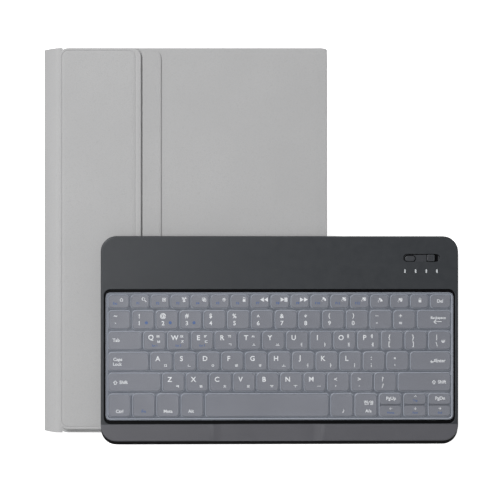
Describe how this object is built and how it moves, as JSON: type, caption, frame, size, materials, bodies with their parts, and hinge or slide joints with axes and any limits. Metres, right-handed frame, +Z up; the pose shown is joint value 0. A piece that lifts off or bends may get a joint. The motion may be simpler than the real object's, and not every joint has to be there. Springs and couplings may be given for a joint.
{
  "type": "tablet keyboard case",
  "caption": "Closed grey folio case for a tablet with a stand flap, and its slim wireless keyboard under a clear key skin lying on its back.",
  "frame": {"origin": "centre of the front cover's outer face, which lies on the table", "axes": "+Z up from the table, +X across the closed folio from its spine to its opening edge, +Y along the spine to the folio's top edge, away from the keyboard"},
  "size_m": [0.2814, 0.2681, 0.0245],
  "materials": {
    "grey_leather": "satin, fine grain",
    "stiff_board": "matte",
    "grey_lining": "brushed microfibre",
    "magnet": "plated",
    "steel": "plain sheet",
    "tray_plastic": "soft, satin",
    "deck_plastic": "satin",
    "base_plastic": "satin",
    "key_plastic": "matte",
    "foot_rubber": "matte",
    "clear_silicone": "translucent, satin",
    "membrane_film": "smooth film",
    "battery_foil": "satin foil",
    "circuit_laminate": "satin",
    "light_guide": "polished",
    "button_plastic": "satin"
  },
  "bodies": {
    "front_cover": {"front_cover_skin": "grey_leather", "front_cover_board": "stiff_board", "front_cover_lining": "grey_lining", "front_magnet_upper": "magnet", "front_magnet_lower": "magnet"},
    "spine": {"spine_skin": "grey_leather", "spine_board": "stiff_board"},
    "back_cover": {"back_cover_skin": "grey_leather", "back_cover_board": "stiff_board", "tablet_tray": "tray_plastic", "flap_hinge_patch": "grey_leather", "flap_catch_plate": "steel"},
    "stand_flap": {"flap_skin": "grey_leather", "flap_board": "stiff_board", "flap_lining": "grey_lining", "flap_magnet": "magnet"},
    "keyboard": {"keyboard_top_case": "deck_plastic", "keyboard_base_plate": "base_plastic", "key_support_plate": "steel", "key_membrane": "membrane_film", "battery": "battery_foil", "circuit_board": "circuit_laminate", "usb_port": "steel", "status_light_guide": "light_guide", "rubber_foot_front": "foot_rubber", "rubber_foot_rear": "foot_rubber"},
    "key_skin": {"key_skin": "clear_silicone"},
    "power_switch": {"power_switch": "button_plastic"},
    "connect_button": {"connect_button": "button_plastic"},
    "keys_esc_to_f4": {"keys_esc_to_f4": "key_plastic"},
    "keys_f5_to_f8": {"keys_f5_to_f8": "key_plastic"},
    "keys_f9_to_f12": {"keys_f9_to_f12": "key_plastic"},
    "keys_mute_to_delete": {"keys_mute_to_delete": "key_plastic"},
    "keys_grave_to_5": {"keys_grave_to_5": "key_plastic"},
    "keys_6_to_equals": {"keys_6_to_equals": "key_plastic"},
    "key_backspace": {"key_backspace": "key_plastic"},
    "key_tab": {"key_tab": "key_plastic"},
    "keys_q_to_t": {"keys_q_to_t": "key_plastic"},
    "keys_y_to_backslash": {"keys_y_to_backslash": "key_plastic"},
    "key_caps_lock": {"key_caps_lock": "key_plastic"},
    "keys_a_to_g": {"keys_a_to_g": "key_plastic"},
    "keys_h_to_quote": {"keys_h_to_quote": "key_plastic"},
    "key_enter": {"key_enter": "key_plastic"},
    "key_shift_left": {"key_shift_left": "key_plastic"},
    "keys_z_to_b": {"keys_z_to_b": "key_plastic"},
    "keys_n_to_slash": {"keys_n_to_slash": "key_plastic"},
    "key_shift_right": {"key_shift_right": "key_plastic"},
    "key_ctrl": {"key_ctrl": "key_plastic"},
    "key_fn": {"key_fn": "key_plastic"},
    "key_meta": {"key_meta": "key_plastic"},
    "key_alt": {"key_alt": "key_plastic"},
    "key_space": {"key_space": "key_plastic"},
    "key_media": {"key_media": "key_plastic"},
    "key_language": {"key_language": "key_plastic"},
    "key_page_up": {"key_page_up": "key_plastic"},
    "key_arrow_left": {"key_arrow_left": "key_plastic"},
    "key_arrow_up": {"key_arrow_up": "key_plastic"},
    "key_arrow_down": {"key_arrow_down": "key_plastic"},
    "key_page_down": {"key_page_down": "key_plastic"},
    "key_arrow_right": {"key_arrow_right": "key_plastic"}
  },
  "joints": [
    {"name": "cover_fold", "type": "hinge", "parent": "front_cover", "child": "spine", "pos_m": [-0.0966, 0, 0.0013], "axis": [0, 1, 0], "range_deg": [-130, 0]},
    {"name": "back_fold", "type": "hinge", "parent": "spine", "child": "back_cover", "pos_m": [-0.086, 0, 0.013], "axis": [0, 1, 0], "range_deg": [-30, 0]},
    {"name": "stand_flap_fold", "type": "hinge", "parent": "back_cover", "child": "stand_flap", "pos_m": [-0.02955, 0, 0.0146], "axis": [0, 1, 0], "range_deg": [0, 60]},
    {"name": "keyboard_lift", "type": "slide", "parent": "back_cover", "child": "keyboard", "axis": [0.0199, 0, 0.9998], "range_m": [0, 0.12]},
    {"name": "key_skin_lift", "type": "slide", "parent": "keyboard", "child": "key_skin", "axis": [0.0199, 0, 0.9998], "range_m": [0, 0.03]},
    {"name": "power_switch_slide", "type": "slide", "parent": "keyboard", "child": "power_switch", "axis": [0.9998, 0, -0.0199], "range_m": [0, 0.002]},
    {"name": "connect_button_press", "type": "slide", "parent": "keyboard", "child": "connect_button", "axis": [-0.0199, 0, -0.9998], "range_m": [0, 0.0004], "stiffness_N_per_m": 200, "springref_m": -0.0005},
    {"name": "press_keys_esc_to_f4", "type": "slide", "parent": "keyboard", "child": "keys_esc_to_f4", "axis": [-0.0199, 0, -0.9998], "range_m": [0, 0.0011], "stiffness_N_per_m": 400, "springref_m": -0.0005},
    {"name": "press_keys_f5_to_f8", "type": "slide", "parent": "keyboard", "child": "keys_f5_to_f8", "axis": [-0.0199, 0, -0.9998], "range_m": [0, 0.0011], "stiffness_N_per_m": 400, "springref_m": -0.0005},
    {"name": "press_keys_f9_to_f12", "type": "slide", "parent": "keyboard", "child": "keys_f9_to_f12", "axis": [-0.0199, 0, -0.9998], "range_m": [0, 0.0011], "stiffness_N_per_m": 400, "springref_m": -0.0005},
    {"name": "press_keys_mute_to_delete", "type": "slide", "parent": "keyboard", "child": "keys_mute_to_delete", "axis": [-0.0199, 0, -0.9998], "range_m": [0, 0.0011], "stiffness_N_per_m": 400, "springref_m": -0.0005},
    {"name": "press_keys_grave_to_5", "type": "slide", "parent": "keyboard", "child": "keys_grave_to_5", "axis": [-0.0199, 0, -0.9998], "range_m": [0, 0.0011], "stiffness_N_per_m": 400, "springref_m": -0.0005},
    {"name": "press_keys_6_to_equals", "type": "slide", "parent": "keyboard", "child": "keys_6_to_equals", "axis": [-0.0199, 0, -0.9998], "range_m": [0, 0.0011], "stiffness_N_per_m": 400, "springref_m": -0.0005},
    {"name": "press_key_backspace", "type": "slide", "parent": "keyboard", "child": "key_backspace", "axis": [-0.0199, 0, -0.9998], "range_m": [0, 0.0011], "stiffness_N_per_m": 400, "springref_m": -0.0005},
    {"name": "press_key_tab", "type": "slide", "parent": "keyboard", "child": "key_tab", "axis": [-0.0199, 0, -0.9998], "range_m": [0, 0.0011], "stiffness_N_per_m": 400, "springref_m": -0.0005},
    {"name": "press_keys_q_to_t", "type": "slide", "parent": "keyboard", "child": "keys_q_to_t", "axis": [-0.0199, 0, -0.9998], "range_m": [0, 0.0011], "stiffness_N_per_m": 400, "springref_m": -0.0005},
    {"name": "press_keys_y_to_backslash", "type": "slide", "parent": "keyboard", "child": "keys_y_to_backslash", "axis": [-0.0199, 0, -0.9998], "range_m": [0, 0.0011], "stiffness_N_per_m": 400, "springref_m": -0.0005},
    {"name": "press_key_caps_lock", "type": "slide", "parent": "keyboard", "child": "key_caps_lock", "axis": [-0.0199, 0, -0.9998], "range_m": [0, 0.0011], "stiffness_N_per_m": 400, "springref_m": -0.0005},
    {"name": "press_keys_a_to_g", "type": "slide", "parent": "keyboard", "child": "keys_a_to_g", "axis": [-0.0199, 0, -0.9998], "range_m": [0, 0.0011], "stiffness_N_per_m": 400, "springref_m": -0.0005},
    {"name": "press_keys_h_to_quote", "type": "slide", "parent": "keyboard", "child": "keys_h_to_quote", "axis": [-0.0199, 0, -0.9998], "range_m": [0, 0.0011], "stiffness_N_per_m": 400, "springref_m": -0.0005},
    {"name": "press_key_enter", "type": "slide", "parent": "keyboard", "child": "key_enter", "axis": [-0.0199, 0, -0.9998], "range_m": [0, 0.0011], "stiffness_N_per_m": 400, "springref_m": -0.0005},
    {"name": "press_key_shift_left", "type": "slide", "parent": "keyboard", "child": "key_shift_left", "axis": [-0.0199, 0, -0.9998], "range_m": [0, 0.0011], "stiffness_N_per_m": 400, "springref_m": -0.0005},
    {"name": "press_keys_z_to_b", "type": "slide", "parent": "keyboard", "child": "keys_z_to_b", "axis": [-0.0199, 0, -0.9998], "range_m": [0, 0.0011], "stiffness_N_per_m": 400, "springref_m": -0.0005},
    {"name": "press_keys_n_to_slash", "type": "slide", "parent": "keyboard", "child": "keys_n_to_slash", "axis": [-0.0199, 0, -0.9998], "range_m": [0, 0.0011], "stiffness_N_per_m": 400, "springref_m": -0.0005},
    {"name": "press_key_shift_right", "type": "slide", "parent": "keyboard", "child": "key_shift_right", "axis": [-0.0199, 0, -0.9998], "range_m": [0, 0.0011], "stiffness_N_per_m": 400, "springref_m": -0.0005},
    {"name": "press_key_ctrl", "type": "slide", "parent": "keyboard", "child": "key_ctrl", "axis": [-0.0199, 0, -0.9998], "range_m": [0, 0.0011], "stiffness_N_per_m": 400, "springref_m": -0.0005},
    {"name": "press_key_fn", "type": "slide", "parent": "keyboard", "child": "key_fn", "axis": [-0.0199, 0, -0.9998], "range_m": [0, 0.0011], "stiffness_N_per_m": 400, "springref_m": -0.0005},
    {"name": "press_key_meta", "type": "slide", "parent": "keyboard", "child": "key_meta", "axis": [-0.0199, 0, -0.9998], "range_m": [0, 0.0011], "stiffness_N_per_m": 400, "springref_m": -0.0005},
    {"name": "press_key_alt", "type": "slide", "parent": "keyboard", "child": "key_alt", "axis": [-0.0199, 0, -0.9998], "range_m": [0, 0.0011], "stiffness_N_per_m": 400, "springref_m": -0.0005},
    {"name": "press_key_space", "type": "slide", "parent": "keyboard", "child": "key_space", "axis": [-0.0199, 0, -0.9998], "range_m": [0, 0.0011], "stiffness_N_per_m": 400, "springref_m": -0.0005},
    {"name": "press_key_media", "type": "slide", "parent": "keyboard", "child": "key_media", "axis": [-0.0199, 0, -0.9998], "range_m": [0, 0.0011], "stiffness_N_per_m": 400, "springref_m": -0.0005},
    {"name": "press_key_language", "type": "slide", "parent": "keyboard", "child": "key_language", "axis": [-0.0199, 0, -0.9998], "range_m": [0, 0.0011], "stiffness_N_per_m": 400, "springref_m": -0.0005},
    {"name": "press_key_page_up", "type": "slide", "parent": "keyboard", "child": "key_page_up", "axis": [-0.0199, 0, -0.9998], "range_m": [0, 0.0011], "stiffness_N_per_m": 400, "springref_m": -0.0005},
    {"name": "press_key_arrow_left", "type": "slide", "parent": "keyboard", "child": "key_arrow_left", "axis": [-0.0199, 0, -0.9998], "range_m": [0, 0.0011], "stiffness_N_per_m": 400, "springref_m": -0.0005},
    {"name": "press_key_arrow_up", "type": "slide", "parent": "keyboard", "child": "key_arrow_up", "axis": [-0.0199, 0, -0.9998], "range_m": [0, 0.0011], "stiffness_N_per_m": 400, "springref_m": -0.0005},
    {"name": "press_key_arrow_down", "type": "slide", "parent": "keyboard", "child": "key_arrow_down", "axis": [-0.0199, 0, -0.9998], "range_m": [0, 0.0011], "stiffness_N_per_m": 400, "springref_m": -0.0005},
    {"name": "press_key_page_down", "type": "slide", "parent": "keyboard", "child": "key_page_down", "axis": [-0.0199, 0, -0.9998], "range_m": [0, 0.0011], "stiffness_N_per_m": 400, "springref_m": -0.0005},
    {"name": "press_key_arrow_right", "type": "slide", "parent": "keyboard", "child": "key_arrow_right", "axis": [-0.0199, 0, -0.9998], "range_m": [0, 0.0011], "stiffness_N_per_m": 400, "springref_m": -0.0005}
  ],
  "couplings": [
    {"joint": "stand_flap_fold", "follows": "keyboard_lift", "rad_per_m": 8.7266}
  ]
}
